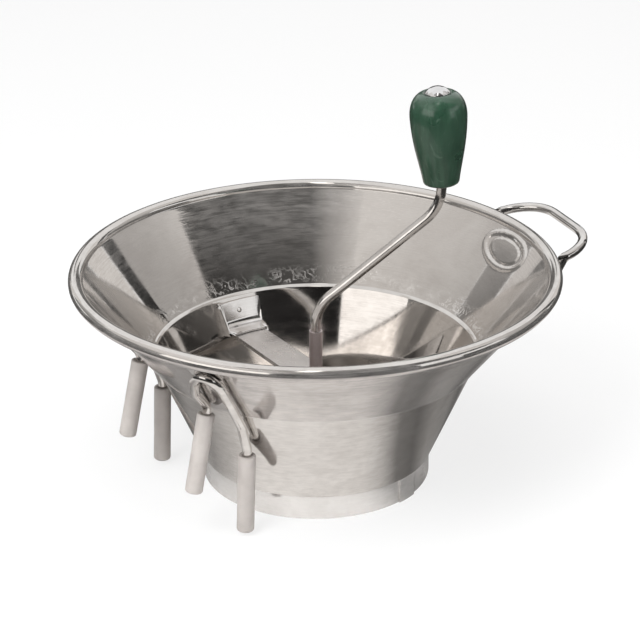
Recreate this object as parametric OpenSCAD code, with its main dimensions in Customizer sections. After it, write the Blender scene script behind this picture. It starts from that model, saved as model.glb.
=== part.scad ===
// Tinned food mill: a two-cone bowl on a foot ring, with a perforated disc, a helical blade
// turned by a cranked rod, a sprung bridge held under two keepers, a wire handle on one side
// and two bent-wire leg brackets with plastic sleeves on the other.
// Millimetres. The bowl's axis is Z and the foot ring stands on z = 0.

/* [Bowl] */
// Outside diameter over the rolled rim
rim_d = 310; // [290:1:330]
// Diameter of the rolled bead round the rim
bead_d = 9; // [8:0.1:10]
// How far the bead stands in from the outside of the bowl's wall
bead_in = 1.6; // [1.4:0.1:2]
// Height of the bead's centre above the table
rim_z = 136.8; // [125:0.1:150]
// Thickness of the bowl's sheet
sheet = 1; // [0.8:0.1:1.4]
// Outside diameter at the ledge between the two cones
ledge_d = 210.2; // [200:0.1:220]
// Height of the ledge
ledge_z = 83.7; // [78:0.1:90]
// Width of the ledge
ledge_w = 2.4; // [1.5:0.1:4]
// Outside diameter of the lower cone at its foot
cone_foot_d = 148; // [147:0.5:156]
// Width of the flange that carries the disc
seat_w = 8; // [6:0.5:10]
// Height of the oval boss pressed into the upper cone, along the wall
boss_d = 26; // [22:1:26]
// Length of the boss, along the rim
boss_l = 50; // [40:1:56]
// Drop from the rim to the boss's centre
boss_drop = 12; // [12:0.5:20]
// Height that the boss stands proud
boss_h = 0.7; // [0.4:0.1:1]

/* [Foot ring] */
// Step in from the lower cone's foot to the foot ring
ring_step = 1.1; // [0.8:0.1:3]
// Height of the foot ring
ring_h = 16; // [12:1:20]
// Thickness of the foot ring's sheet
ring_sheet = 1.2; // [0.8:0.1:1.6]
// Length of the lap where the ring's ends are joined
ring_lap = 14; // [8:1:20]

/* [Disc] */
// Play round the perforated disc in the bowl's foot
disc_play = 1.9; // [1:0.1:2.5]
// Thickness of the disc
disc_sheet = 1; // [0.8:0.1:1.4]
// Height that the disc's working face is raised above its rim
disc_rise = 3; // [2:0.5:5]
// Play of the raised working face inside the seat
face_play = 2.6; // [1.5:0.1:5]
// Diameter of one hole
hole_d = 3; // [2.5:0.5:4]
// Distance from hole to hole
hole_pitch = 7; // [6.5:0.5:9]

/* [Crank] */
// Diameter of the crank rod
rod_d = 6.4; // [6:0.1:7.5]
// Diameter of the pivot that turns in the disc
pivot_d = 5; // [4:0.5:5.5]
// Height at which the rod starts to lean out
crank_z = 112.2; // [106:0.1:116]
// Reach of the crank, from the bowl's axis to the arm's upper bend
crank_reach = 79.1; // [70:0.1:90]
// Lean of the crank's arm, from upright
crank_lean = 49; // [42:0.5:52]
// Bend radius of the rod's centreline
rod_bend = 28; // [20:1:29]
// Outside diameter of the tube round the lower shaft
sleeve_d = 8.4; // [8.2:0.1:10]
// Distance from the tube's upper end to the start of the rod's bend
sleeve_short = 3; // [1:0.5:10]

/* [Blade] */
// Margin between the blade's sweep and the edge of the disc's working face
blade_margin = 3; // [2:0.5:8]
// Thickness of the blade
blade_t = 1.6; // [1.2:0.1:2]
// Height that the blade climbs from its scraping edge
blade_rise = 22; // [16:1:24]
// Angle that the blade goes round the hub
blade_sweep = 200; // [150:5:240]
// Diameter of the blade's hub
hub_d = 21; // [20:0.5:22]
// Height of the blade's hub
hub_h = 12; // [10:1:13]
// Diameter of the pin through hub and rod
hub_pin_d = 2.4; // [2:0.2:3]

/* [Bridge] */
// Width of the flat bar
bar_w = 23; // [18:1:24]
// Thickness of the flat bar
bar_t = 3; // [2.5:0.5:4]
// Play at each end of the bar when it is pushed right down
bar_play = 1; // [0.5:0.1:2]
// Height of the bar's upper face
bar_top = 64; // [62:0.5:66]
// Direction of the bar, counted anticlockwise from +X
bar_az = 122; // [110:1:130]
// Travel of the bar when it is pushed down to free it
press_travel = 6.5; // [5:0.5:7]
// Outside diameter of the bushing in the bar
bushing_d = 12; // [11:0.5:14]
// Wire diameter of the pressure spring
spring_wire = 1.8; // [1.4:0.1:2]
// Outside diameter of the pressure spring
spring_d = 18; // [16:0.5:19]
// Turns of the pressure spring
spring_turns = 5; // [4:0.5:6]

/* [Keepers] */
// Thickness of a keeper's plate
keeper_t = 1.5; // [1.2:0.1:2]
// Distance from the top of a keeper's plate to the bowl's ledge
keeper_drop = 3; // [2.5:0.5:6]
// Length of the lip over the bar's end
lip_l = 12; // [10:0.5:14]
// Travel of the pushed-down bar that clears the tab which stops it turning back
tab_clear = 2; // [1:0.5:3]

/* [Knob] */
// Widest diameter of the knob
knob_d = 35.6; // [32:0.2:40]
// Diameter of the knob at its foot
knob_foot_d = 22.6; // [20:0.2:24]
// Height of the knob
knob_h = 58.8; // [52:0.2:64]
// Length of rod from the arm's upper bend to the knob's foot
knob_neck = 15.7; // [15.4:0.1:24]
// Lean of the knob towards the bowl's axis
knob_lean = 3.2; // [0:0.2:4]
// Diameter of the domed cap
cap_d = 15.6; // [14:0.2:18]
// Height of the domed cap
cap_h = 3.8; // [3:0.2:5]

/* [Handle] */
// Diameter of the handle's wire
handle_wire = 6; // [5:0.5:6.5]
// Width of the loop, between wire centres
handle_w = 87; // [76:1:92]
// Distance that the loop stands out past the rim
handle_out = 23.6; // [20:0.2:36]
// Bend radius at the loop's corners
handle_bend = 28; // [20:1:34]
// Rise of the loop, from the rim out to its end
handle_rise = 5; // [2:0.5:8]
// Direction of the handle
handle_az = 23.5; // [15:0.5:35]

/* [Legs] */
// Diameter of the leg brackets' wire
leg_wire = 6; // [5:0.5:6.5]
// Outside diameter of a plastic sleeve
leg_sleeve_d = 11; // [10:0.2:11.6]
// Length of a plastic sleeve
leg_sleeve_l = 51.5; // [46:0.5:54]
// Direction that the two brackets lie either side of
leg_az = 210.4; // [200:0.2:220]
// Height of the outer sleeves' feet above the table
leg_clear = 2.5; // [1:0.5:6]
// Thickness of the pads that brackets and handle are welded to
pad_t = 1.2; // [0.8:0.1:1.6]

/* [Hidden] */
$fn = 96;

run = 0.06;         // running clearance of a shaft in its hole
snug = 0.1;         // clearance between pieces that are fastened together
gap = 0.3;          // clearance between pieces that move past each other
wire_sides = 20;    // sides of a swept wire
bend_steps = 6;     // steps round one bend of a swept wire

tin = [0.78, 0.76, 0.74];
steel = [0.62, 0.60, 0.58];
green = [0.10, 0.33, 0.22];
grey = [0.74, 0.72, 0.70];

// --- Bowl outline -------------------------------------------------------------------------
bead_r = bead_d / 2;
boss_z = rim_z - boss_drop;
bead_c = rim_d / 2 - bead_r;                 // radius of the bead's centre
ledge_r = ledge_d / 2;
cone_top_r = ledge_r - ledge_w;              // lower cone, at its top
cone_top_z = ledge_z - ledge_w * 0.7;
cone_foot_r = cone_foot_d / 2;
upper_slope = (bead_c - bead_r + bead_in - ledge_r) / (rim_z - ledge_z);
lower_slope = (cone_top_r - cone_foot_r) / (cone_top_z - ring_h);
upper_tilt = atan(upper_slope);
lower_tilt = atan(lower_slope);
upper_wall = sheet / cos(upper_tilt);        // the sheet's thickness, measured level
lower_wall = sheet / cos(lower_tilt);

function upper_r(z) = ledge_r + (z - ledge_z) * upper_slope;
function lower_r(z) = cone_foot_r + (z - ring_h) * lower_slope;
function wall_r(z) = z > ledge_z ? upper_r(z) : lower_r(z);
// Outside radius at a distance out from the wall, measured square to it
function off_wall(z, d) = wall_r(z) + d / cos(z > ledge_z ? upper_tilt : lower_tilt);

// --- Disc ---------------------------------------------------------------------------------
ring_d = cone_foot_d - 2 * ring_step;
disc_d = cone_foot_d - 2 * (lower_wall + disc_play);
skirt_w = disc_rise * 0.8;                   // width of the slope round the working face
face_r = cone_foot_r - seat_w - face_play - skirt_w;
blade_r = face_r - blade_margin;

// --- Stack on the axis, from the bottom up ------------------------------------------------
seat_z = ring_h + sheet;
face_z = seat_z + disc_rise + disc_sheet;    // the disc's working face
hub_z = face_z + gap;
hub_top = hub_z + hub_h;
washer_t = 1.5;
spring_z = hub_top + washer_t;
bar_z = bar_top - bar_t;
bushing_flange = 1.5;
spring_end = bar_z - bushing_flange;
bushing_top = bar_top + 2;
pivot_z = ring_h + 0.5;

// --- Crank and knob -----------------------------------------------------------------------
rod_r = rod_d / 2;
function bend_tangent(turn) = rod_bend * tan(turn / 2);
knob_axis = [-sin(knob_lean), 0, cos(knob_lean)];
arm_foot_z = crank_z - bend_tangent(crank_lean);
arm_elbow = [crank_reach, 0, crank_z + crank_reach / tan(crank_lean)];
knob_foot = arm_elbow + knob_axis * knob_neck;
sleeve_top = arm_foot_z - sleeve_short;
washer_h = 1.2;
cap_bore = 2.4;                              // depth of the spindle in the cap

// --- Keepers ------------------------------------------------------------------------------
lip_z = bar_top + gap;
keeper_top = cone_top_z - keeper_drop + 1.7;
tab_z = bar_top - (press_travel - tab_clear);
bar_reach = lower_r(bar_z - press_travel) - lower_wall - bar_play;
bar_l = 2 * sqrt(pow(bar_reach, 2) - pow(bar_w / 2, 2));
wall_in = lower_wall + snug;                 // from the outline to a keeper's back
keeper_level = keeper_t / cos(lower_tilt);   // a keeper's plate, measured level
lip_root = lower_r(lip_z) - wall_in;
bar_corner = bar_w / 2 + gap;
keeper_half = asin(bar_corner / (lip_root - lip_l));
keeper_end = keeper_half + keeper_t / lip_root * 180 / PI;
weld_z = lip_z + (keeper_top - lip_z) * 0.56;            // height of the plug weld through the plate
weld_d = 3.4;

// --- Handle and legs ----------------------------------------------------------------------
pad_off = pad_t + snug;                      // from the bowl's wall to a welded wire
handle_off = pad_off + handle_wire / 2;
leg_off = pad_off + leg_wire / 2;
handle_half = handle_w / 2;
handle_reach = rim_d / 2 + handle_out;
handle_foot_z = ledge_z + (rim_z - ledge_z) * 0.52;
handle_under = bead_r + handle_wire / 2 + 0.8;
prong_l = leg_sleeve_l + 3.5;                // sleeve and the straight wire that shows above it
// Each prong, from the bend above its sleeve to the sleeve's foot: radius, angle from the leg
// line and height
inner_top = [ledge_r + leg_sleeve_d / 2 + 0.4, 23.4, ledge_z + 3.3];
inner_foot = [inner_top.x + 11, 21.7, inner_top.z - prong_l];
outer_top_z = leg_clear + prong_l;
outer_top = [lower_r(outer_top_z) + leg_sleeve_d / 2 + 1.5, 34.5, outer_top_z];
outer_foot = [outer_top.x + 1.8, 33.8, leg_clear];
// Where a bracket lies on the wall, as angle from the leg line and height
bracket_route = [
    [24.8, rim_z - 34], [28.2, rim_z - 20], [32.6, rim_z - 9],
    [35.4, rim_z - 20], [34.8, ledge_z + 8], [34.2, ledge_z - 8]];
leg_bends = [8, 7, 9, 5.5, 10, 14, 12, 12];
sleeve_end = 3;                              // thickness of a sleeve's closed end

// --- Small vector helpers -----------------------------------------------------------------
function unit(v) = v / norm(v);
function cyl(r, a, z) = [r * cos(a), r * sin(a), z];
function arc(c, r, a0, a1, steps) =
    [for (i = [0 : steps]) c + r * [cos(a0 + (a1 - a0) * i / steps), sin(a0 + (a1 - a0) * i / steps)]];

// Points of the arc of radius r that rounds the corner b between a and c
function fillet(a, b, c, r) =
    let (u = unit(a - b), v = unit(c - b), half = acos(u * v) / 2,
         centre = b + unit(u + v) * r / sin(half),
         out = unit(b + u * r / tan(half) - centre))
    [for (i = [0 : bend_steps])
        let (s = (180 - 2 * half) * i / bend_steps) centre + r * (cos(s) * out - sin(s) * u)];

function bent_path(p, radii) = concat(
    [p[0]],
    [for (i = [1 : len(p) - 2]) each fillet(p[i - 1], p[i], p[i + 1], radii[i - 1])],
    [p[len(p) - 1]]);

function tangents(p) =
    let (n = len(p) - 1)
    [for (i = [0 : n]) unit(i == 0 ? p[1] - p[0]
                          : i == n ? p[n] - p[n - 1]
                          : unit(p[i + 1] - p[i]) + unit(p[i] - p[i - 1]))];

function carried(t, side, i = 0) =
    i == len(t) ? [] : let (m = unit(side - (side * t[i]) * t[i])) concat([m], carried(t, m, i + 1));

// A round wire along a list of points
module wire(path, d, sides = wire_sides) {
    t = tangents(path);
    across = carried(t, cross(t[0], abs(t[0].z) < 0.9 ? [0, 0, 1] : [1, 0, 0]));
    n = len(path);
    pts = [for (i = [0 : n - 1], k = [0 : sides - 1])
        path[i] + d / 2 * (cos(360 * k / sides) * across[i] + sin(360 * k / sides) * cross(t[i], across[i]))];
    skin = [for (i = [0 : n - 2], k = [0 : sides - 1])
        let (k2 = (k + 1) % sides, a = i * sides, b = a + sides)
        each [[a + k, b + k, a + k2], [a + k2, b + k, b + k2]]];
    ends = [[for (k = [0 : sides - 1]) k], [for (k = [sides - 1 : -1 : 0]) (n - 1) * sides + k]];
    polyhedron(pts, concat(skin, ends), convexity = 6);
}

// Places children with +Z square to the bowl's wall and pointing in, at a height on its outside
module on_wall(az, z) {
    tilt = z > ledge_z ? upper_tilt : lower_tilt;
    rotate([0, 0, az]) translate([wall_r(z), 0, z]) rotate([0, tilt - 90, 0]) children();
}

// Turns an outline through an arc from a0 to a1
module sector(a0, a1) {
    rotate([0, 0, a0]) rotate_extrude(angle = a1 - a0, convexity = 6) children();
}

// Stands a piece between two points, its +Z running from p to q
module between(p, q) {
    d = q - p;
    translate(p) rotate([0, acos(d.z / norm(d)), atan2(d.y, d.x)]) children();
}

module at_knob() {
    translate(knob_foot) rotate([0, -knob_lean, 0]) children();
}

// --- Bowl ---------------------------------------------------------------------------------
// Half section: outside up to the bead, then inside back down to the flange under the disc
module bowl_outline() {
    inner_top_z = cone_top_z + ledge_w * 0.25;
    foot_in = cone_foot_r - seat_w;
    polygon([
        [foot_in, ring_h], [cone_foot_r, ring_h], [cone_top_r, cone_top_z],
        [ledge_r - ledge_w * 0.25, ledge_z - ledge_w * 0.45], [ledge_r, ledge_z],
        [upper_r(rim_z), rim_z], [upper_r(rim_z) - upper_wall, rim_z],
        [ledge_r + ledge_w * 0.1 - upper_wall, ledge_z + ledge_w * 0.12],
        [ledge_r - ledge_w * 0.35 - upper_wall, ledge_z - ledge_w * 0.1],
        [lower_r(inner_top_z) - lower_wall, inner_top_z],
        [cone_foot_r - lower_wall + sheet * lower_slope, seat_z], [foot_in, seat_z]]);
    translate([bead_c, rim_z]) circle(bead_r);
}

module bowl() {
    slit = 0.6;                               // where the curl's edge stops short of the wall
    slit_at = 225;
    boss_az = handle_az + 2;
    boss_band = 3.2;                          // width of the boss's raised outer band
    inner = 0.3;                              // half size of the inner boss, as a share of the outer's size
    color(tin) {
        rotate_extrude(convexity = 8) difference() {
            bowl_outline();
            translate([bead_c, rim_z]) {
                circle(bead_r - sheet);
                rotate(slit_at) translate([0, -slit / 2]) square([bead_r * 1.2, slit]);
            }
        }
        intersection() {
            on_wall(boss_az, boss_z) linear_extrude(12, center = true) difference() {
                oval(boss_d / 2, boss_l / 2);
                oval(boss_d / 2 - boss_band, boss_l / 2 - boss_band);
            }
            boss_shell();
        }
        intersection() {
            on_wall(boss_az, boss_z) linear_extrude(12, center = true)
                oval(boss_d * inner, boss_l * inner * 1.1);
            boss_shell();
        }
    }
}

// An oval with the half sizes a along X and b along Y
module oval(a, b) {
    scale([1, b / a]) circle(a);
}

// A thin shell over the inside of the upper cone, as thick as the boss stands proud
module boss_shell() {
    z0 = boss_z - boss_d * 0.6;
    z1 = rim_z;
    deep = upper_wall + boss_h / cos(upper_tilt);
    rotate_extrude() polygon([
        [upper_r(z0) - upper_wall / 2, z0], [upper_r(z1) - upper_wall / 2, z1],
        [upper_r(z1) - deep, z1], [upper_r(z0) - deep, z0]]);
}

module rim_wire() {
    color(steel) rotate_extrude() translate([bead_c, rim_z]) circle(bead_r - sheet - run);
}

module base_ring() {
    lap = ring_lap / (ring_d / 2) * 180 / PI;
    lap_az = -44.5;                           // where the lap's outer edge lies
    color(tin) {
        difference() {
            cylinder(h = ring_h, d = ring_d);
            translate([0, 0, -1]) cylinder(h = ring_h + 2, d = ring_d - 2 * ring_sheet);
        }
        sector(lap_az, lap_az + lap)
            translate([ring_d / 2 - ring_sheet / 2, 0]) square([ring_sheet, ring_h]);
    }
}

// --- Disc ---------------------------------------------------------------------------------
module sieve_disc() {
    rim_face = seat_z + disc_sheet;
    first = hub_d / 2 + hole_pitch / 2;
    last = face_r - hole_d / 2 - 1;
    corner = disc_sheet * 0.4;                // step of the upper face at the skirt's bends
    color(tin) difference() {
        rotate_extrude() polygon([
            [pivot_d / 2 + run, face_z - disc_sheet], [face_r, face_z - disc_sheet],
            [face_r + skirt_w, seat_z], [disc_d / 2, seat_z], [disc_d / 2, rim_face],
            [face_r + skirt_w + corner, rim_face], [face_r + corner, face_z],
            [pivot_d / 2 + run, face_z]]);
        translate([0, 0, seat_z]) linear_extrude(disc_rise + 2 * disc_sheet)
            for (r = [first : hole_pitch : last]) {
                count = floor(2 * PI * r / hole_pitch);
                for (i = [0 : count - 1])
                    rotate(360 * i / count) translate([r, 0]) circle(d = hole_d, $fn = 16);
            }
    }
}

// --- Crank --------------------------------------------------------------------------------
// The rod is a straight shaft, a swept arm with both bends, and a straight spindle for the knob.
// The arm's facets stand just outside the rod's round, so that shaft and spindle end inside it.
module crank_rod() {
    into = 1;                                 // how far shaft and spindle run into the arm
    knee = [0, 0, crank_z];
    arm_foot = [0, 0, arm_foot_z];
    arm_head = arm_elbow + knob_axis * bend_tangent(crank_lean + knob_lean);
    tip = knob_foot + knob_axis * (knob_h + cap_bore);
    proud = 0.16;                             // how far the arm's facets stand outside the rod
    arm_d = rod_d / cos(180 / wire_sides) + proud;
    inner_bend = rod_bend - snug;             // leaves a straight end for shaft and spindle
    color(steel) {
        difference() {
            union() {
                translate([0, 0, pivot_z]) cylinder(h = hub_z + 1 - pivot_z, d = pivot_d);
                translate([0, 0, hub_z]) cylinder(h = arm_foot_z + into - hub_z, r = rod_r);
            }
            hub_pin_hole();
        }
        wire(bent_path([arm_foot, knee, arm_elbow, arm_head], [inner_bend, inner_bend]), arm_d);
        between(arm_head - knob_axis * into, tip) cylinder(h = norm(tip - arm_head) + into, r = rod_r);
    }
}

// The cross hole for the hub's pin
module hub_pin_hole() {
    translate([0, 0, hub_z + hub_h / 2]) rotate([90, 0, 0])
        cylinder(h = hub_d + 2, d = hub_pin_d, center = true);
}

module shaft_sleeve() {
    foot = bushing_top + gap;
    color(steel) translate([0, 0, foot]) difference() {
        cylinder(h = sleeve_top - foot, d = sleeve_d);
        translate([0, 0, -1]) cylinder(h = sleeve_top - foot + 2, r = rod_r + run);
    }
}

// --- Blade --------------------------------------------------------------------------------
// It climbs clockwise from its scraping edge, so a crank turned clockwise presses food down
module blade() {
    across = 4;
    round = 30;
    taper = 0.12;                             // share of its reach that the blade loses as it climbs
    climb = 1.15;                             // above 1, the blade climbs faster and faster
    r0 = hub_d / 2 + snug;
    layer = (across + 1) * (round + 1);
    function at(i, j, up) =
        let (f = i / round, r = r0 + (blade_r * (1 - taper * f * f) - r0) * j / across)
        cyl(r, -blade_sweep * f, hub_z + blade_rise * pow(f, climb) + up);
    function quad(a, b, c, d) = [[a, c, b], [a, d, c]];
    pts = concat([for (i = [0 : round], j = [0 : across]) at(i, j, 0)],
                 [for (i = [0 : round], j = [0 : across]) at(i, j, blade_t)]);
    function id(i, j, up) = up * layer + i * (across + 1) + j;
    faces = concat(
        [for (i = [0 : round - 1], j = [0 : across - 1])
            each quad(id(i, j, 0), id(i, j + 1, 0), id(i + 1, j + 1, 0), id(i + 1, j, 0))],
        [for (i = [0 : round - 1], j = [0 : across - 1])
            each quad(id(i, j, 1), id(i + 1, j, 1), id(i + 1, j + 1, 1), id(i, j + 1, 1))],
        [for (i = [0 : round - 1])
            each quad(id(i, 0, 0), id(i + 1, 0, 0), id(i + 1, 0, 1), id(i, 0, 1))],
        [for (i = [0 : round - 1])
            each quad(id(i, across, 0), id(i, across, 1), id(i + 1, across, 1), id(i + 1, across, 0))],
        [for (j = [0 : across - 1])
            each quad(id(0, j, 0), id(0, j, 1), id(0, j + 1, 1), id(0, j + 1, 0))],
        [for (j = [0 : across - 1])
            each quad(id(round, j, 0), id(round, j + 1, 0), id(round, j + 1, 1), id(round, j, 1))]);
    color(tin) polyhedron(pts, faces, convexity = 6);
}

module blade_hub() {
    color(steel) difference() {
        translate([0, 0, hub_z]) cylinder(h = hub_h, d = hub_d);
        translate([0, 0, hub_z - 1]) cylinder(h = hub_h + 2, r = rod_r + run);
        hub_pin_hole();
    }
}

module hub_pin() {
    color(steel) translate([0, 0, hub_z + hub_h / 2]) rotate([90, 0, 0])
        cylinder(h = hub_d - 1, d = hub_pin_d - 2 * run, center = true);
}

module spring_washer() {
    color(steel) translate([0, 0, hub_top]) difference() {
        cylinder(h = washer_t, d = hub_d);
        translate([0, 0, -1]) cylinder(h = washer_t + 2, r = rod_r + run);
    }
}

module pressure_spring() {
    steps = 22;
    r = (spring_d - spring_wire) / 2;
    z0 = spring_z + spring_wire / 2 + snug;
    z1 = spring_end - spring_wire / 2 - snug;
    n = round(spring_turns * steps);
    color(steel) wire([for (i = [0 : n]) cyl(r, 360 * i / steps, z0 + (z1 - z0) * i / n)], spring_wire, 8);
}

// --- Bridge and keepers -------------------------------------------------------------------
module bridge() {
    nose = bar_w * 0.28;
    color(tin) rotate([0, 0, bar_az]) translate([0, 0, bar_z]) difference() {
        linear_extrude(bar_t) polygon([
            [-bar_l / 2, -bar_w / 2 + nose], [-bar_l / 2 + nose, -bar_w / 2],
            [bar_l / 2 - nose, -bar_w / 2], [bar_l / 2, -bar_w / 2 + nose],
            [bar_l / 2, bar_w / 2 - nose], [bar_l / 2 - nose, bar_w / 2],
            [-bar_l / 2 + nose, bar_w / 2], [-bar_l / 2, bar_w / 2 - nose]]);
        translate([0, 0, -1]) cylinder(h = bar_t + 2, d = bushing_d + 2 * run);
    }
}

module bridge_bushing() {
    color(steel) difference() {
        union() {
            translate([0, 0, spring_end]) cylinder(h = bushing_flange, d = hub_d);
            translate([0, 0, bar_z]) cylinder(h = bushing_top - bar_z, d = bushing_d);
        }
        translate([0, 0, spring_end - 1]) cylinder(h = bushing_top - spring_end + 2, r = rod_r + run);
    }
}

// One keeper, for a bar that lies along +X: plate on the wall, lip over the bar's end,
// a turned-down tab on the clockwise side and a stop flange on the other
module keeper() {
    fold = 0.3;                               // angle by which the plate runs into the flange
    shoulder = 2;                             // how far the flange starts below the plate's top
    stop_deep = 6;                            // depth of the stop flange beside the bar
    corner = 1.5;                             // cut corners of tab and flange
    over = 1;
    function back(z) = lower_r(z) - wall_in;
    shoulder_z = keeper_top - shoulder;
    lip_end = lip_root - lip_l;
    stop_end = back(bar_z) - stop_deep;
    color(tin) difference() {
        union() {
            difference() {
                sector(-keeper_end, keeper_half + fold) polygon([
                    [back(keeper_top), keeper_top], [back(keeper_top) - keeper_level, keeper_top],
                    [back(lip_z + keeper_t) - keeper_level, lip_z + keeper_t],
                    [lip_end, lip_z + keeper_t], [lip_end, tab_z + corner], [lip_end + corner, tab_z],
                    [back(tab_z), tab_z]]);
                sector(-keeper_half, keeper_end) polygon([
                    [lip_root + over, lip_z], [lip_end - over, lip_z],
                    [lip_end - over, tab_z - over], [lip_root + over, tab_z - over]]);
            }
            sector(keeper_half, keeper_end) polygon([
                [back(shoulder_z), shoulder_z], [back(shoulder_z) - keeper_level - shoulder, shoulder_z],
                [stop_end, bar_z + corner], [stop_end + corner, bar_z], [back(bar_z), bar_z]]);
        }
        on_wall(0, weld_z) cylinder(h = 12, d = weld_d, center = true);
    }
}

module keeper_rear() {
    rotate([0, 0, bar_az]) keeper();
}

module keeper_front() {
    rotate([0, 0, bar_az + 180]) keeper();
}

// A weld fills the hole in a keeper's plate and stands a little proud of it
module keeper_welds() {
    dome_h = 0.5;
    full = keeper_t - 2 * snug;
    fill_d = weld_d - 2 * run;
    color(steel) for (a = [bar_az, bar_az + 180]) on_wall(a, weld_z) translate([0, 0, sheet + snug / 2]) {
        cylinder(h = full, d = fill_d);
        translate([0, 0, full]) cylinder(h = dome_h, d1 = fill_d, d2 = fill_d * 0.6);
    }
}

// --- Knob ---------------------------------------------------------------------------------
function bezier(p, t) =
    pow(1 - t, 3) * p[0] + 3 * t * pow(1 - t, 2) * p[1] + 3 * t * t * (1 - t) * p[2] + pow(t, 3) * p[3];

module knob() {
    r = knob_d / 2;
    foot_r = knob_foot_d / 2;
    neck = 1.6;                               // rounding at the foot
    wide = knob_h * 0.75;                     // height of the widest place
    top_r = cap_d / 2 + 0.9;
    flank = [[foot_r + 0.2, 2], [foot_r + 1.9, knob_h * 0.23], [r - 0.5, knob_h * 0.44], [r, wide]];
    crown = [[r, wide], [r, knob_h * 0.885], [r * 0.81, knob_h - 1], [top_r, knob_h]];
    color(green) at_knob() rotate_extrude() polygon(concat(
        [[rod_r + run, 0], [foot_r - neck + 0.2, 0]],
        [for (i = [0 : 12]) bezier(flank, i / 12)],
        [for (i = [1 : 10]) bezier(crown, i / 10)],
        [[cap_d / 2 + 0.3, knob_h - 1], [rod_r + run, knob_h - 1]]));
}

module knob_cap() {
    r = cap_d / 2;
    foot = knob_h - 1 + gap;
    dome = (r * r + cap_h * cap_h) / (2 * cap_h);
    color(steel) at_knob() rotate_extrude() polygon(concat(
        [[rod_r + snug, foot], [r, foot]],
        [for (i = [0 : 8])
            let (a = asin(r / dome) * (1 - i / 8)) [dome * sin(a), foot + 0.8 + dome * cos(a) - dome + cap_h]],
        [[0, knob_h + cap_bore + snug], [rod_r + snug, knob_h + cap_bore + snug]]));
}

module knob_washer() {
    color(steel) at_knob() translate([0, 0, -gap - washer_h]) difference() {
        cylinder(h = washer_h, d = knob_foot_d * 0.62);
        translate([0, 0, -1]) cylinder(h = washer_h + 2, r = rod_r + run);
    }
}

// --- Handle -------------------------------------------------------------------------------
// The handle's route in its own frame: a out along the handle, b across it
module handle() {
    bend_z = rim_z - 11;                      // where it leaves the wall to pass under the rim
    function level_a(r) = sqrt(pow(r, 2) - pow(handle_half, 2));
    function side_a(z) = level_a(off_wall(z, handle_off));
    dip = level_a(bead_c + bead_r);
    near = level_a(rim_d / 2 + handle_wire / 2 + 1.6);
    half = [
        [side_a(handle_foot_z), handle_half, handle_foot_z],
        [side_a(bend_z), handle_half, bend_z],
        [dip, handle_half, rim_z - handle_under],
        [near, handle_half, rim_z],
        [handle_reach, handle_half, rim_z + handle_rise]];
    route = concat(half, [for (i = [4 : -1 : 0]) [half[i].x, -half[i].y, half[i].z]]);
    bends = [9, 5, 4.5, handle_bend, handle_bend, 4.5, 5, 9];
    color(steel) rotate([0, 0, handle_az]) wire(bent_path(route, bends), handle_wire);
}

// A pad welded under a wire, lying on the upper cone between two heights
module pad(az, half, z0, z1) {
    color(tin) sector(az - half, az + half) polygon([
        [off_wall(z0, snug / 2), z0], [off_wall(z1, snug / 2), z1],
        [off_wall(z1, pad_t), z1], [off_wall(z0, pad_t), z0]]);
}

module handle_pads() {
    foot = handle_foot_z + 1;
    tall = 12;
    mid = asin(handle_half / off_wall(foot + tall / 2, handle_off));
    for (s = [-1, 1]) pad(handle_az + s * mid, 2.8, foot, foot + tall);
}

// --- Legs ---------------------------------------------------------------------------------
function leg_point(p, side) = cyl(p[0], leg_az + side * p[1], p[2]);
function leg_inset(a, b, d) = a + unit(b - a) * d;     // a point d from a, on the way to b

module leg_bracket(side) {
    foot_in = leg_point(inner_foot, side);
    top_in = leg_point(inner_top, side);
    foot_out = leg_point(outer_foot, side);
    top_out = leg_point(outer_top, side);
    on_bowl = [for (p = bracket_route) leg_point([off_wall(p[1], leg_off), p[0], p[1]], side)];
    route = concat(
        [leg_inset(foot_in, top_in, sleeve_end), top_in], on_bowl,
        [top_out, leg_inset(foot_out, top_out, sleeve_end)]);
    color(steel) wire(bent_path(route, leg_bends), leg_wire);
}

module leg_bracket_rear() {
    leg_bracket(-1);
}

module leg_bracket_front() {
    leg_bracket(1);
}

module leg_pads() {
    top = rim_z - 7;
    tall = 9.5;
    for (s = [-1, 1]) pad(leg_az + s * 31.5, 4.4, top - tall, top);
}

// A sleeve with a rounded closed foot, open at the top for the prong
module leg_sleeve(foot, top, side) {
    p = leg_point(foot, side);
    q = leg_point(top, side);
    r = leg_sleeve_d / 2;
    bore = leg_wire / 2 + run;
    round = 1.8;
    edge = 0.5;
    color(grey) between(p, q) rotate_extrude() polygon(concat(
        [[0, 0]],
        arc([r - round, round], round, -90, 0, 8),
        [[r, leg_sleeve_l - edge], [r - edge, leg_sleeve_l], [bore, leg_sleeve_l]],
        [[bore, sleeve_end - snug], [0, sleeve_end - snug]]));
}

module sleeve_rear_outer() {
    leg_sleeve(outer_foot, outer_top, -1);
}

module sleeve_rear_inner() {
    leg_sleeve(inner_foot, inner_top, -1);
}

module sleeve_front_inner() {
    leg_sleeve(inner_foot, inner_top, 1);
}

module sleeve_front_outer() {
    leg_sleeve(outer_foot, outer_top, 1);
}

bowl();
rim_wire();
base_ring();
sieve_disc();
crank_rod();
shaft_sleeve();
blade();
blade_hub();
hub_pin();
spring_washer();
pressure_spring();
bridge();
bridge_bushing();
keeper_rear();
keeper_front();
keeper_welds();
knob();
knob_cap();
knob_washer();
handle();
handle_pads();
leg_bracket_rear();
leg_bracket_front();
leg_pads();
sleeve_rear_outer();
sleeve_rear_inner();
sleeve_front_inner();
sleeve_front_outer();
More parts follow.
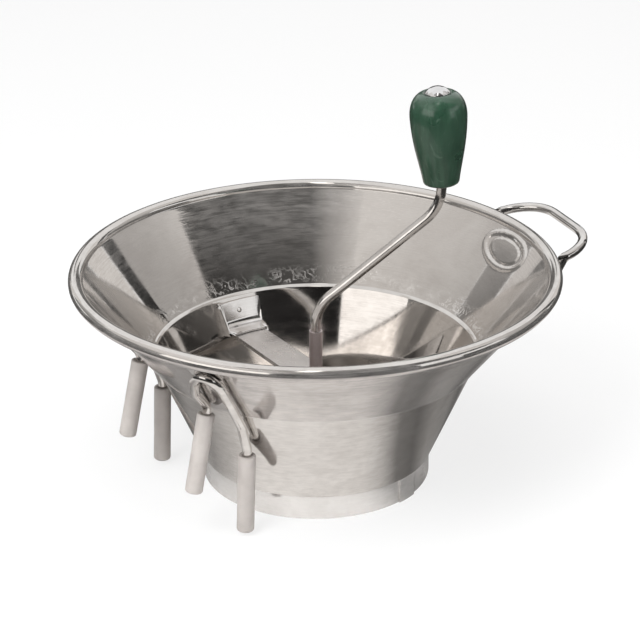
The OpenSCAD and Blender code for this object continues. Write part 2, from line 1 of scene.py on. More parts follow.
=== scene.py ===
# %% [markdown]
# # A tinned food mill
#
# A hand food mill is spun and folded from bright tinned steel: a wide cone for the food, a steeper
# cone below it, and a foot ring that holds a perforated disc. A cranked rod turns a blade over the
# disc. This lesson dresses the mill's construction model. The frame gives every piece its place and
# size, and each visible surface is then made again as a fine mesh with its own finish, because
# bright metal shows every facet of a coarse one.

# %% Set up
import math

import bpy
import numpy as np
from mathutils import Matrix, Vector


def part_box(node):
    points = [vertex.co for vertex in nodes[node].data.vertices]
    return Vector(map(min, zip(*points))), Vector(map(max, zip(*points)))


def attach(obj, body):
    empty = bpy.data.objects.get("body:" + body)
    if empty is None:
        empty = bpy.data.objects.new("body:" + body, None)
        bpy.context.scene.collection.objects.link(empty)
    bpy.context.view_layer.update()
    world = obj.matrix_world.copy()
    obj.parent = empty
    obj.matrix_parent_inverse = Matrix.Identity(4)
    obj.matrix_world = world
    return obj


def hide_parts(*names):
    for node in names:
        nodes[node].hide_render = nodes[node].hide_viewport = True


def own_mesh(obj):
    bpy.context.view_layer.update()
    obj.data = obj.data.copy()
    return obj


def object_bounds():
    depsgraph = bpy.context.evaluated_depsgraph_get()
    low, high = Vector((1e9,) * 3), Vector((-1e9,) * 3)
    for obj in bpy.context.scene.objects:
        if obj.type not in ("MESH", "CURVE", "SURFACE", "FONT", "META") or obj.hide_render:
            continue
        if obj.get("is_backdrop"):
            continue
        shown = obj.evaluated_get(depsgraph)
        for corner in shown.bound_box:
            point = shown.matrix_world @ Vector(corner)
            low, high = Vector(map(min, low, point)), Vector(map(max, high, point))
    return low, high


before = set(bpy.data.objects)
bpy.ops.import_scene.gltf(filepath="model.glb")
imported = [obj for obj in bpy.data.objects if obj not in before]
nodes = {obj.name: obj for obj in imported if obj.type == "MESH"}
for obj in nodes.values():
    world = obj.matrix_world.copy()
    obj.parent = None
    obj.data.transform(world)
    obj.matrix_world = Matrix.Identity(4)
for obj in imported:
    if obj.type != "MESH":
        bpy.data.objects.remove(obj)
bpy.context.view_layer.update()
MM = 0.001

# %% [markdown]
# ## The camera
#
# The mill is seen from in front and above with a long lens, which keeps its round mouth free of
# distortion. A camera looks along its own -Z, so its turn is written as a matrix whose columns are
# right, up and backwards.

# %% Camera
camera_target = Vector((2.75, 0, 103.6)) * MM
camera_distance = 1585 * MM
camera_pitch = math.radians(24.185)
camera_roll = math.radians(-0.26)
lens_mm = 140.6

forward = Vector((0, math.cos(camera_pitch), -math.sin(camera_pitch)))
level_right = Vector((1, 0, 0))
level_up = level_right.cross(forward)
right = math.cos(camera_roll) * level_right + math.sin(camera_roll) * level_up
up = math.cos(camera_roll) * level_up - math.sin(camera_roll) * level_right

camera_data = bpy.data.cameras.new("camera")
camera_data.lens = lens_mm
camera_data.sensor_width = 36
camera = bpy.data.objects.new("camera", camera_data)
turn = Matrix((right, up, -forward)).transposed().to_4x4()
camera.matrix_world = Matrix.Translation(camera_target - forward * camera_distance) @ turn
bpy.context.scene.collection.objects.link(camera)
bpy.context.scene.camera = camera
bpy.context.scene.view_settings.view_transform = "Standard"
print("camera at", tuple(camera.location))

# %% [markdown]
# ## Numbers that the pieces share
#
# These are the mill's own sizes, in metres.

# %% Shared sizes
bowl_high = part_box("bowl")[1]
ring_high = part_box("base_ring")[1]
sheet = 1 * MM
rim_r = bowl_high[0]
bead_r = 4.5 * MM
bead_in = 1.6 * MM
bead_c = rim_r - bead_r
rim_z = bowl_high[2] - bead_r
ring_h = ring_high[2]
ledge_r = 105.1 * MM
ledge_z = 83.7 * MM
ledge_w = 2.4 * MM
cone_top_r = ledge_r - ledge_w
cone_top_z = ledge_z - ledge_w * 0.7
cone_foot_r = 74 * MM
upper_slope = (bead_c - bead_r + bead_in - ledge_r) / (rim_z - ledge_z)
lower_slope = (cone_top_r - cone_foot_r) / (cone_top_z - ring_h)
upper_wall = sheet * math.hypot(1, upper_slope)
lower_wall = sheet * math.hypot(1, lower_slope)


def upper_r(z):
    """Outside radius of the upper cone at a height."""
    return ledge_r + (z - ledge_z) * upper_slope


def lower_r(z):
    """Outside radius of the lower cone at a height."""
    return cone_foot_r + (z - ring_h) * lower_slope


def off_wall(z, d):
    """Radius of a point that lies d outside the wall, measured square to it."""
    if z > ledge_z:
        return upper_r(z) + d * math.hypot(1, upper_slope)
    return lower_r(z) + d * math.hypot(1, lower_slope)


def polar(r, az, z):
    """A point given by radius, angle in degrees and height."""
    return np.array([r * math.cos(math.radians(az)), r * math.sin(math.radians(az)), z])


print("bead", bead_c, rim_z, "slopes", upper_slope, lower_slope)

# %% [markdown]
# ## Lines and surfaces
#
# Nearly everything on the mill is one of two surfaces: a profile turned round an axis, as a spinner
# or a wood turner makes it, or a circle carried along a bent line, as wire is. Both are a grid of
# points, and one function turns such a grid into a mesh.


# %% Bent lines
def unit(v):
    """The vector at length one."""
    v = np.asarray(v, float)
    return v / np.linalg.norm(v)


def bent(points, radii, steps=10):
    """The points joined by straight lines, with each inner corner rounded to its radius.

    A corner of radius r touches its two lines at r / tan(half the angle between them), and its arc
    is drawn about the centre that lies on the bisector at r / sin(half the angle).
    """
    points = [np.asarray(p, float) for p in points]
    line = [points[0]]
    for before, corner, after, r in zip(points, points[1:], points[2:], radii):
        if r == 0:
            line.append(corner)
            continue
        u, v = unit(before - corner), unit(after - corner)
        half = math.acos(np.clip(u @ v, -1, 1)) / 2
        centre = corner + unit(u + v) * r / math.sin(half)
        out = unit(corner + u * r / math.tan(half) - centre)
        for s in np.linspace(0, math.pi - 2 * half, steps + 1):
            line.append(centre + r * (math.cos(s) * out - math.sin(s) * u))
    line.append(points[-1])
    return np.array(line)


def spaced(line, step):
    """Adds points to a line so that no two neighbours lie further apart than step."""
    parts = [line[:1]]
    for a, b in zip(line, line[1:]):
        n = max(1, math.ceil(np.linalg.norm(b - a) / step))
        parts.append(a + (b - a) * np.linspace(0, 1, n + 1)[1:, None])
    return np.concatenate(parts)


# %% Meshes from grids
def grid_mesh(name, points, wrap_rows=False, wrap_columns=False, caps=False):
    """A mesh from a grid of points, with a four-sided face between each four neighbours.

    points has the shape rows x columns x 3. Where an end row or column is one point, as at a pole,
    the doubles are merged afterwards. caps closes the first and the last row with one face each.
    """
    rows, columns = points.shape[:2]
    i = np.arange(rows if wrap_rows else rows - 1)[:, None]
    j = np.arange(columns if wrap_columns else columns - 1)[None, :]
    i2, j2 = (i + 1) % rows, (j + 1) % columns
    quads = np.stack([i * columns + j, i2 * columns + j, i2 * columns + j2, i * columns + j2], -1)
    faces = quads.reshape(-1, 4).tolist()
    if caps:
        faces.append(list(range(columns)))
        faces.append([(rows - 1) * columns + k for k in range(columns - 1, -1, -1)])
    mesh = bpy.data.meshes.new(name)
    mesh.from_pydata(points.reshape(-1, 3), [], faces)
    piece = bpy.data.objects.new(name, mesh)
    bpy.context.scene.collection.objects.link(piece)
    return piece


def finish_mesh(piece, sharp_angle=40):
    """Merges doubles, turns the faces outwards and shades smooth up to an angle."""
    import bmesh

    work = bmesh.new()
    work.from_mesh(piece.data)
    bmesh.ops.remove_doubles(work, verts=work.verts, dist=1e-6)
    bmesh.ops.dissolve_degenerate(work, edges=work.edges, dist=1e-7)
    bmesh.ops.recalc_face_normals(work, faces=work.faces)
    work.to_mesh(piece.data)
    work.free()
    piece.data.shade_smooth()
    piece.data.set_sharp_from_angle(angle=math.radians(sharp_angle))
    return piece


def turned(name, profile, turns=96, closed=True, angles=None):
    """A profile of (radius, height) points turned round Z.

    Point (r, z) at angle a goes to (r cos a, r sin a, z).
    """
    if angles is None:
        angles = np.linspace(0, 2 * math.pi, turns, endpoint=False)
    r, z = profile[:, 0], profile[:, 1]
    points = np.stack(
        [np.outer(np.cos(angles), r), np.outer(np.sin(angles), r), np.tile(z, (len(angles), 1))], -1
    )
    return grid_mesh(name, points, wrap_rows=True, wrap_columns=closed)


def wire(name, line, radius, sides=28, round_end=0.25):
    """A circle carried along a line without twisting, with its two ends slightly rounded.

    At each point the circle lies across the line's direction, and its first spoke is the one
    before, less the part of it that lies along the line.
    """
    line = np.asarray(line, float)
    along = np.gradient(line, axis=0)
    along /= np.linalg.norm(along, axis=1)[:, None]
    spoke = np.cross(along[0], [0, 0, 1] if abs(along[0][2]) < 0.9 else [1, 0, 0])
    spokes = []
    for t in along:
        spoke = unit(spoke - (spoke @ t) * t)
        spokes.append(spoke)
    spokes = np.array(spokes)
    others = np.cross(along, spokes)
    a = np.linspace(0, 2 * math.pi, sides, endpoint=False)
    ring = spokes[:, None] * np.cos(a)[None, :, None] + others[:, None] * np.sin(a)[None, :, None]
    points = line[:, None] + radius * ring
    soft = radius * round_end
    first = line[0] + (radius - soft) * ring[0]
    last = line[-1] + (radius - soft) * ring[-1]
    points[0] += along[0] * soft
    points[-1] -= along[-1] * soft
    points = np.concatenate([first[None], points, last[None]])
    return grid_mesh(name, points, wrap_columns=True, caps=True)


def placed(piece, matrix):
    """Moves a mesh, and not its object, by a matrix."""
    piece.data.transform(matrix)
    return piece


def standing(p, q):
    """The matrix that puts the origin at p and turns +Z towards q."""
    turned_to = (Vector(q) - Vector(p)).to_track_quat("Z", "Y").to_matrix().to_4x4()
    return Matrix.Translation(Vector(p)) @ turned_to


# %% [markdown]
# ## Dressing a construction piece
#
# Flat and folded pieces already have the right shape in the construction model. A copy of the mesh
# gets merged corners, smooth shading up to an angle and a small bevel, because a real edge always
# catches some light.


# %% Dress
def dressed(node, name, body, bevel=0.0, sharp_angle=35):
    """A copy of a construction piece with merged corners and softened edges, in the piece's place."""
    piece = bpy.data.objects.new(name, nodes[node].data.copy())
    bpy.context.scene.collection.objects.link(piece)
    finish_mesh(piece, sharp_angle)
    if bevel:
        soft = piece.modifiers.new("edge", "BEVEL")
        soft.width = bevel
        soft.segments = 2
        soft.limit_method = "ANGLE"
        soft.angle_limit = math.radians(sharp_angle)
        soft.harden_normals = False
    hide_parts(node)
    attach(piece, body)
    return piece


def made(piece, material, slot, body, *replaced, sharp_angle=40):
    """Smooths and paints a piece, puts it on its body and lets it stand for construction pieces."""
    finish_mesh(piece, sharp_angle)
    piece.data.materials.append(material)
    if replaced:
        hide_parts(*replaced)
    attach(piece, body)


# %% [markdown]
# ## Shader groups
#
# Four effects come back on several finishes, so each is a node group with named sockets: the fine
# rings that spinning leaves, the cloudy bloom of tin, its drips, and small scratches. Each reads a
# vector, puts out values, and leaves it to the material what to do with them.


# %% Node helpers
def new_group(name, inputs, outputs):
    """An empty shader group with named sockets, and its two end nodes."""
    tree = bpy.data.node_groups.new(name, "ShaderNodeTree")
    for label, kind, value in inputs:
        socket = tree.interface.new_socket(label, in_out="INPUT", socket_type=kind)
        if value is not None:
            socket.default_value = value
    for label, kind in outputs:
        tree.interface.new_socket(label, in_out="OUTPUT", socket_type=kind)
    return tree, tree.nodes.new("NodeGroupInput"), tree.nodes.new("NodeGroupOutput")


def node(tree, kind, links=(), **settings):
    """Adds a node, sets its properties and inputs, and links sockets into it.

    links are pairs of an input's name or number and the output that feeds it.
    """
    made_node = tree.nodes.new(kind)
    values = settings.pop("values", {})
    for key, value in settings.items():
        setattr(made_node, key, value)
    for key, value in values.items():
        made_node.inputs[key].default_value = value
    for key, source in links:
        tree.links.new(source, made_node.inputs[key])
    return made_node


def math_node(tree, operation, a, b=None, clamp=False):
    """A Math node's output; a and b are sockets or numbers."""
    n = tree.nodes.new("ShaderNodeMath")
    n.operation = operation
    n.use_clamp = clamp
    for k, source in enumerate((a, b)):
        if source is None:
            continue
        if isinstance(source, (int, float)):
            n.inputs[k].default_value = source
        else:
            tree.links.new(source, n.inputs[k])
    return n.outputs[0]


def mixed(tree, factor, a, b):
    """A colour between a and b; each is a socket or an (r, g, b)."""
    n = tree.nodes.new("ShaderNodeMix")
    n.data_type = "RGBA"
    tree.links.new(factor, n.inputs[0])
    for k, source in ((6, a), (7, b)):
        if isinstance(source, tuple):
            n.inputs[k].default_value = (*source, 1)
        else:
            tree.links.new(source, n.inputs[k])
    return n.outputs[2]


def ranged(tree, value, low, high, to_low=0.0, to_high=1.0):
    """A value moved from one range to another, without going past its ends."""
    n = tree.nodes.new("ShaderNodeMapRange")
    n.inputs["From Min"].default_value = low
    n.inputs["From Max"].default_value = high
    n.inputs["To Min"].default_value = to_low
    n.inputs["To Max"].default_value = to_high
    tree.links.new(value, n.inputs["Value"])
    return n.outputs[0]


def noise(tree, vector, links=(), **values):
    """A noise texture's value at a vector; values set its other inputs."""
    return node(tree, "ShaderNodeTexNoise", [("Vector", vector), *links], values=values).outputs[0]


def product(tree, a, b):
    """a times b."""
    return math_node(tree, "MULTIPLY", a, b)


def height_of(tree, vector):
    """The Z part of a vector."""
    return node(tree, "ShaderNodeSeparateXYZ", [(0, vector)]).outputs[2]


def raised(tree, shader, height, strength, distance):
    """Bumps a shader's surface by a height."""
    values = {"Strength": strength, "Distance": distance}
    bump = node(tree, "ShaderNodeBump", [("Height", height)], values=values)
    tree.links.new(bump.outputs[0], shader.inputs["Normal"])


# %% [markdown]
# Spinning presses a sheet over a turning form, and the tool leaves rings that run round the bowl.
# The noise is read on a unit circle with the height stretched hard, so that it changes quickly going
# up and slowly going round, and has no seam.

# %% Spin marks
spin_marks, spin_in, spin_out = new_group(
    "spin_marks",
    [
        ("Vector", "NodeSocketVector", None), ("Fineness", "NodeSocketFloat", 900.0),
        ("Reach", "NodeSocketFloat", 8.0), ("Dimples", "NodeSocketFloat", 4.0),
    ],
    [("Height", "NodeSocketFloat"), ("Streaks", "NodeSocketFloat")],
)
at = spin_in.outputs["Vector"]
flat = node(spin_marks, "ShaderNodeVectorMath", [(0, at)], operation="MULTIPLY", values={1: (1, 1, 0)})
circle = node(spin_marks, "ShaderNodeVectorMath", [(0, flat.outputs[0])], operation="NORMALIZE")
spread = node(
    spin_marks, "ShaderNodeVectorMath", [(0, circle.outputs[0]), ("Scale", spin_in.outputs["Reach"])],
    operation="SCALE",
)
around = node(spin_marks, "ShaderNodeSeparateXYZ", [(0, spread.outputs[0])])
tall = product(spin_marks, height_of(spin_marks, at), spin_in.outputs["Fineness"])


def ringed(up):
    """The point on the unit circle, with a stretched height as its third part."""
    links = [(0, around.outputs[0]), (1, around.outputs[1]), (2, up)]
    return node(spin_marks, "ShaderNodeCombineXYZ", links).outputs[0]


fine = noise(spin_marks, ringed(tall), Scale=1.0, Detail=4.0, Roughness=0.62)
broad = noise(spin_marks, ringed(product(spin_marks, tall, 0.16)), Scale=1.3, Detail=3.0, Roughness=0.55)
dimple = noise(spin_marks, at, Scale=42.0, Detail=2.0, Roughness=0.5)
sum_up = math_node(spin_marks, "ADD", fine, product(spin_marks, broad, 1.5))
sum_up = math_node(spin_marks, "ADD", sum_up, product(spin_marks, dimple, spin_in.outputs["Dimples"]))
spin_marks.links.new(sum_up, spin_out.inputs["Height"])
streaks = ranged(spin_marks, product(spin_marks, fine, broad), 0.14, 0.36)
spin_marks.links.new(streaks, spin_out.inputs["Streaks"])

# %% [markdown]
# Tin is dipped or wiped on hot. It dulls in clouds, and small flowers and pits stay in it.

# %% Tin bloom
tin_bloom, bloom_in, bloom_out = new_group(
    "tin_bloom",
    [("Vector", "NodeSocketVector", None), ("Scale", "NodeSocketFloat", 26.0)],
    [("Clouds", "NodeSocketFloat"), ("Pits", "NodeSocketFloat")],
)
at, scale = bloom_in.outputs["Vector"], bloom_in.outputs["Scale"]
cloud = noise(tin_bloom, at, [("Scale", scale)], Detail=6.0, Roughness=0.6, Distortion=0.6)
pit_scale = product(tin_bloom, scale, 16.0)
pit = node(tin_bloom, "ShaderNodeTexVoronoi", [("Vector", at), ("Scale", pit_scale)]).outputs["Distance"]
tin_bloom.links.new(ranged(tin_bloom, cloud, 0.36, 0.66), bloom_out.inputs["Clouds"])
tin_bloom.links.new(ranged(tin_bloom, pit, 0.04, 0.16, 1.0, 0.0), bloom_out.inputs["Pits"])

# %% [markdown]
# Where the bowl steps in at its ledge, hot tin ran and set in thin wandering drips. A line of drip
# stands where a slow, bent noise passes through one value.

# %% Tin drips
tin_drips, drip_in, drip_out = new_group(
    "tin_drips",
    [
        ("Vector", "NodeSocketVector", None), ("Low", "NodeSocketFloat", 0.0),
        ("High", "NodeSocketFloat", 0.01),
    ],
    [("Lines", "NodeSocketFloat")],
)
at, low, high = (drip_in.outputs[label] for label in ("Vector", "Low", "High"))
run = noise(tin_drips, at, Scale=140.0, Detail=3.0, Distortion=1.2)
off = math_node(tin_drips, "ABSOLUTE", math_node(tin_drips, "SUBTRACT", run, 0.5))
drip_line = ranged(tin_drips, off, 0.012, 0.055, 1.0, 0.0)
above = math_node(tin_drips, "SUBTRACT", height_of(tin_drips, at), low)
share_up = math_node(tin_drips, "DIVIDE", above, math_node(tin_drips, "SUBTRACT", high, low))
fade = product(
    tin_drips, ranged(tin_drips, share_up, 0.0, 0.12), ranged(tin_drips, share_up, 0.35, 1.0, 1.0, 0.0)
)
here = noise(tin_drips, at, Scale=38.0, Detail=2.0)
kept = product(tin_drips, drip_line, ranged(tin_drips, here, 0.36, 0.50))
tin_drips.links.new(product(tin_drips, kept, fade), drip_out.inputs["Lines"])

# %% [markdown]
# Handling leaves short scratches in every direction. Two noises stretched along different lines
# cross each other, and only their peaks are kept.

# %% Scratches
scratches, scratch_in, scratch_out = new_group(
    "scratches",
    [("Vector", "NodeSocketVector", None), ("Scale", "NodeSocketFloat", 60.0)],
    [("Lines", "NodeSocketFloat")],
)
lines = []
for tilt in ((0.3, 0.5, 1.1), (1.2, -0.4, -0.7)):
    lean = node(
        scratches, "ShaderNodeMapping", [("Vector", scratch_in.outputs["Vector"])],
        values={"Rotation": tilt, "Scale": (1.0, 22.0, 1.0)},
    )
    size = [("Scale", scratch_in.outputs["Scale"])]
    scratch = noise(scratches, lean.outputs[0], size, Detail=2.0, Roughness=0.5)
    lines.append(ranged(scratches, scratch, 0.66, 0.74))
scratches.links.new(math_node(scratches, "MAXIMUM", *lines), scratch_out.inputs["Lines"])


# %% [markdown]
# ## Finishes
#
# Every metal here is the same kind of material: a base colour between a bright and a dull tone, a
# roughness between two values, and a bump from the marks that its making left.


# %% Metal
def use(tree, group, links=(), **values):
    """Places a shader group in a material."""
    n = tree.nodes.new("ShaderNodeGroup")
    n.node_tree = group
    for key, source in links:
        tree.links.new(source, n.inputs[key])
    for key, value in values.items():
        n.inputs[key].default_value = value
    return n


def new_material(name):
    """A material with only its Principled shader and output, and Object coordinates."""
    material = bpy.data.materials.new(name)
    material.use_nodes = True
    tree = material.node_tree
    shader = next(n for n in tree.nodes if n.type == "BSDF_PRINCIPLED")
    place = tree.nodes.new("ShaderNodeTexCoord").outputs["Object"]
    return material, tree, shader, place


def metal(
    name, bright, dull, roughness, marks, cloud_scale=26.0, fineness=900.0, bump=0.03, pits=0.3,
    dimples=4.0, film=(0.0, 0.1, 0.0, 0.0), drip=0.45, streaky=1.0,
):
    """A bare or tinned metal. roughness is (smooth, dull); marks is how far streaks darken it.

    film is the share of dull oxide over the metal at two heights: low, high, share low, share high.
    streaky is how far the film follows the streaks; at 0 it lies evenly.
    """
    material, tree, shader, place = new_material(name)
    spin = use(tree, spin_marks, [("Vector", place)], Fineness=fineness, Dimples=dimples)
    bloom = use(tree, tin_bloom, [("Vector", place)], Scale=cloud_scale)
    nicks = use(tree, scratches, [("Vector", place)], Scale=60.0)
    height = height_of(tree, place)
    streak = product(tree, spin.outputs["Streaks"], marks)
    wear = product(tree, nicks.outputs["Lines"], 0.35)
    cloudy = product(tree, bloom.outputs["Clouds"], 0.45)
    dullness = math_node(tree, "ADD", streak, cloudy, clamp=True)
    speckled = math_node(tree, "MAXIMUM", dullness, product(tree, bloom.outputs["Pits"], pits))
    worn = math_node(tree, "MAXIMUM", speckled, wear)
    tree.links.new(mixed(tree, worn, bright, dull), shader.inputs["Base Color"])
    tree.links.new(ranged(tree, worn, 0, 1, *roughness), shader.inputs["Roughness"])
    relief = math_node(tree, "SUBTRACT", spin.outputs["Height"], product(tree, worn, 0.4))
    shader.inputs["Metallic"].default_value = 1.0
    low, high, share_low, share_high = film
    if share_high:
        share = ranged(tree, height, low, high, share_low, share_high)
        streaked = ranged(tree, spin.outputs["Streaks"], 0, 1, 1 - 0.65 * streaky, 1 + 0.7 * streaky)
        uneven = math_node(tree, "ADD", streaked, product(tree, worn, 0.3 * streaky))
        drips = use(
            tree, tin_drips, [("Vector", place)], Low=ledge_z + 0.5 * MM, High=ledge_z + 11 * MM
        ).outputs["Lines"]
        covered = math_node(tree, "ADD", product(tree, share, uneven), product(tree, drips, drip))
        bare = math_node(tree, "SUBTRACT", 1.0, covered, clamp=True)
        tree.links.new(bare, shader.inputs["Metallic"])
        relief = product(tree, relief, ranged(tree, height, low - 4 * MM, high, 0.12, 1.0))
        relief = math_node(tree, "ADD", relief, product(tree, drips, 24.0 * drip))
    raised(tree, shader, relief, bump, 0.0006)
    return material


# The outside of the flare is painted darker than the cone below it, as painted shade for the shaded floor
# it mirrors, and the ring's film is nearly even.
tinplate = metal(
    "tinplate", (0.70, 0.675, 0.65), (0.52, 0.49, 0.465), (0.03, 0.13), 0.4, fineness=1250.0,
    bump=0.03, dimples=2.8, film=(ledge_z + 4 * MM, rim_z - 8 * MM, 0.008, 0.12), drip=0.36,
)
tin_outside = metal(
    "tinplate_outside", (0.72, 0.70, 0.68), (0.50, 0.475, 0.455), (0.05, 0.16), 0.35, fineness=1000.0,
    bump=0.03, film=(ledge_z - 2 * MM, ledge_z + 1.5 * MM, 0.01, 0.2), drip=0.0,
)
flare_painted_shade = metal(
    "tinplate_flare_painted_shade", (0.63, 0.60, 0.58), (0.40, 0.375, 0.36), (0.05, 0.18), 0.5, fineness=900.0,
    bump=0.03, film=(ledge_z, rim_z, 0.1, 0.12), drip=0.0,
)
ring_tin = metal(
    "ring_tin", (0.82, 0.80, 0.785), (0.62, 0.60, 0.58), (0.06, 0.2), 0.15, fineness=500.0,
    film=(0.0, 30 * MM, 0.36, 0.36), drip=0.0, streaky=0.15, pits=0.1,
)
pad_tin = metal(
    "pad_tinplate", (0.80, 0.78, 0.765), (0.60, 0.575, 0.555), (0.06, 0.2), 0.25,
    fineness=500.0,
)
disc_tin = metal("disc_tinplate", (0.62, 0.60, 0.57), (0.34, 0.32, 0.30), (0.16, 0.34), 0.4)
wire_tin = metal(
    "wire_tin", (0.76, 0.74, 0.72), (0.45, 0.42, 0.40), (0.05, 0.2), 0.2, cloud_scale=60.0,
    fineness=300.0,
)
bar_steel = metal(
    "bar_steel", (0.74, 0.71, 0.69), (0.50, 0.47, 0.455), (0.24, 0.40), 0.2, cloud_scale=50.0,
    fineness=200.0, bump=0.06,
)
tube_steel = metal(
    "tube_steel", (0.66, 0.59, 0.59), (0.46, 0.40, 0.40), (0.30, 0.46), 0.3, cloud_scale=70.0,
    fineness=500.0,
)
spring_steel = metal(
    "spring_steel", (0.45, 0.43, 0.42), (0.22, 0.21, 0.20), (0.2, 0.4), 0.2, cloud_scale=90.0,
)
chrome = metal(
    "cap_chrome", (0.82, 0.82, 0.82), (0.60, 0.60, 0.60), (0.03, 0.10), 0.1, cloud_scale=80.0,
    bump=0.01, pits=0.1, dimples=0.0,
)

# %% [markdown]
# The knob is turned wood under green lacquer. The grain runs along the knob and only just shows,
# and the lacquer lies over it as a clear coat.

# %% Lacquered wood
lacquer, tree, shader, place = new_material("green_lacquer")
grain_place = node(tree, "ShaderNodeMapping", [("Vector", place)], values={"Scale": (260.0, 260.0, 26.0)})
grain = noise(tree, grain_place.outputs[0], Scale=1.0, Detail=5.0, Roughness=0.6)
patch = noise(tree, place, Scale=45.0, Detail=3.0)
nicks = use(tree, scratches, [("Vector", place)], Scale=90.0)
tone = mixed(tree, ranged(tree, grain, 0.35, 0.7), (0.022, 0.062, 0.036), (0.012, 0.038, 0.022))
clouded = mixed(tree, ranged(tree, patch, 0.4, 0.75, 0.0, 0.35), tone, (0.034, 0.078, 0.050))
chipped = mixed(tree, product(tree, nicks.outputs["Lines"], 0.15), clouded, (0.20, 0.28, 0.22))
tree.links.new(chipped, shader.inputs["Base Color"])
tree.links.new(ranged(tree, patch, 0.3, 0.7, 0.24, 0.36), shader.inputs["Roughness"])
shader.inputs["Coat Weight"].default_value = 0.7
shader.inputs["Coat Roughness"].default_value = 0.1
raised(tree, shader, grain, 0.12, 0.0004)

# %% [markdown]
# The leg sleeves are dipped plastic with a matt, slightly soiled skin.

# %% Sleeve plastic
plastic, tree, shader, place = new_material("sleeve_plastic")
skin = noise(tree, place, Scale=900.0, Detail=4.0)
smudge = noise(tree, place, Scale=55.0, Detail=5.0, Roughness=0.6)
soiled = mixed(tree, ranged(tree, smudge, 0.35, 0.7), (0.49, 0.455, 0.43), (0.40, 0.365, 0.345))
tree.links.new(soiled, shader.inputs["Base Color"])
tree.links.new(ranged(tree, skin, 0.3, 0.7, 0.55, 0.7), shader.inputs["Roughness"])
raised(tree, shader, skin, 0.15, 0.0003)
print("finishes:", [m.name for m in bpy.data.materials])


# %% [markdown]
# ## The bowl
#
# The bowl is one spun sheet. Its half section runs from the flange inside the foot up the outside,
# over the rolled bead and back down the inside. An oval boss is pressed into the upper cone, so the
# wall's points near it move inwards, by a low dome in the middle and an oval band round it.

# %% Bowl profile
seat_w = 8 * MM
foot_in = cone_foot_r - seat_w
seat_z = ring_h + sheet


def on_bead(a):
    """The bead's point at an angle, where 0 points outwards."""
    return bead_c + bead_r * math.cos(a), rim_z + bead_r * math.sin(a)


def bead_meets(inset):
    """The angle at which a wall line that passes inset inside the bead's own side cuts the bead.

    On the line the bead's cos(a) - slope * sin(a) equals inset / radius - 1, and that sum is one
    cosine, hypot(1, slope) * cos(a + atan(slope)).
    """
    cut = math.acos((inset / bead_r - 1) / math.hypot(1, upper_slope))
    return 2 * math.pi - cut - math.atan(upper_slope)


bead_from = bead_meets(bead_in)
bead_to = bead_meets(bead_in - upper_wall) + 2 * math.pi
bead_arc = [on_bead(a) for a in np.linspace(bead_from, bead_to - 0.2, 44)]
outside = bent(
    [
        (foot_in, ring_h), (cone_foot_r, ring_h), (cone_top_r, cone_top_z),
        (ledge_r - ledge_w * 0.25, ledge_z - ledge_w * 0.45), (ledge_r, ledge_z), on_bead(bead_from),
    ],
    [0.9 * MM, 0.5 * MM, 0.5 * MM, 0.6 * MM], 6,
)
inside = bent(
    [
        bead_arc[-1], on_bead(bead_to),
        (ledge_r + ledge_w * 0.1 - upper_wall, ledge_z + ledge_w * 0.12),
        (ledge_r - ledge_w * 0.35 - upper_wall, ledge_z - ledge_w * 0.1),
        (lower_r(cone_top_z + ledge_w * 0.25) - lower_wall, cone_top_z + ledge_w * 0.25),
        (cone_foot_r - lower_wall + sheet * lower_slope, seat_z), (foot_in, seat_z),
    ],
    [1.6 * MM, 0.5 * MM, 0.25 * MM, 0.4 * MM, 1.2 * MM], 6,
)
profile = np.concatenate(
    [spaced(outside, 3 * MM), np.array(bead_arc)[1:-1], spaced(inside, 1.1 * MM)]
)
print("bowl profile", len(profile), "points; the bead runs from", bead_from, "to", bead_to)

# %% Bowl surface
boss_az = math.radians(25.5)
boss_z = rim_z - 12 * MM
boss_half = np.array([25, 13]) * MM
boss_band = 3.2 * MM
boss_middle = np.array([16.5, 7.8]) * MM
boss_h = 0.75 * MM
dent_depth = 0.10 * MM
plain = np.linspace(0, 2 * math.pi, 200, endpoint=False)
near_boss = boss_az + np.linspace(-0.2, 0.2, 104)
angles = np.sort(np.concatenate([plain[np.abs(plain - boss_az) > 0.201], near_boss]))
bowl = turned("bowl_shell", profile, angles=angles)


def past_oval(level, steep, half):
    """How far a point lies outside an oval, negative inside it.

    With k0 the point's length after dividing by the half sizes, and k1 after dividing by their
    squares, the distance is close to k0 * (k0 - 1) / k1.
    """
    k0 = np.hypot(level / half[0], steep / half[1])
    k1 = np.hypot(level / half[0] ** 2, steep / half[1] ** 2)
    return k0 * (k0 - 1) / np.maximum(k1, 1e-9)


def step(t, low, high):
    """Rises from zero at low to one at high, with level ends."""
    t = np.clip((t - low) / (high - low), 0, 1)
    return t * t * (3 - 2 * t)


def read(parts, what):
    """A mesh's three-part values, such as its points, as rows of an array."""
    values = np.empty(len(parts) * 3)
    parts.foreach_get(what, values)
    return values.reshape(-1, 3)


